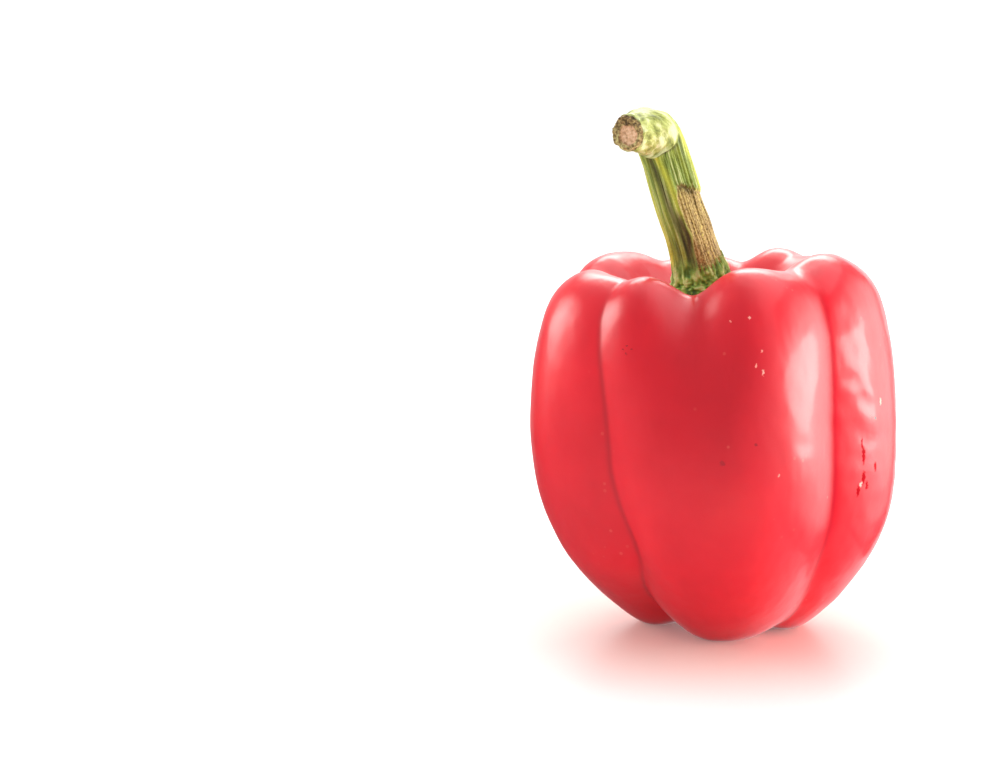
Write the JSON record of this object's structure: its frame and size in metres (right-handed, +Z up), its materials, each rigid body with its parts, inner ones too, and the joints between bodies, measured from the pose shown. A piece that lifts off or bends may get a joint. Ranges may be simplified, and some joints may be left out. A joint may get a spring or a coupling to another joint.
{
  "type": "bell pepper",
  "caption": "Red sweet bell pepper, blocky and lobed, resting upright on its feet, with its green calyx and a leaning, hooked cut stem.",
  "frame": {"origin": "middle of the bounding box in X and Y, at the surface that the pepper's feet rest on", "axes": "+Z up along the fruit from its feet to its stem; -Y is the front, where the stem's cut end turns; the stem leans to -X"},
  "size_m": [0.0844, 0.0838, 0.1209],
  "materials": {
    "red_skin": "smooth, waxy and glossy ripe skin",
    "calyx_green": "satin, wrinkled leafy green",
    "stem_green": "ribbed yellow-green rind with corky patches and a dry cut end"
  },
  "bodies": {
    "root": {"fruit": "red_skin", "calyx": "calyx_green", "stem": "stem_green"}
  },
  "joints": []
}
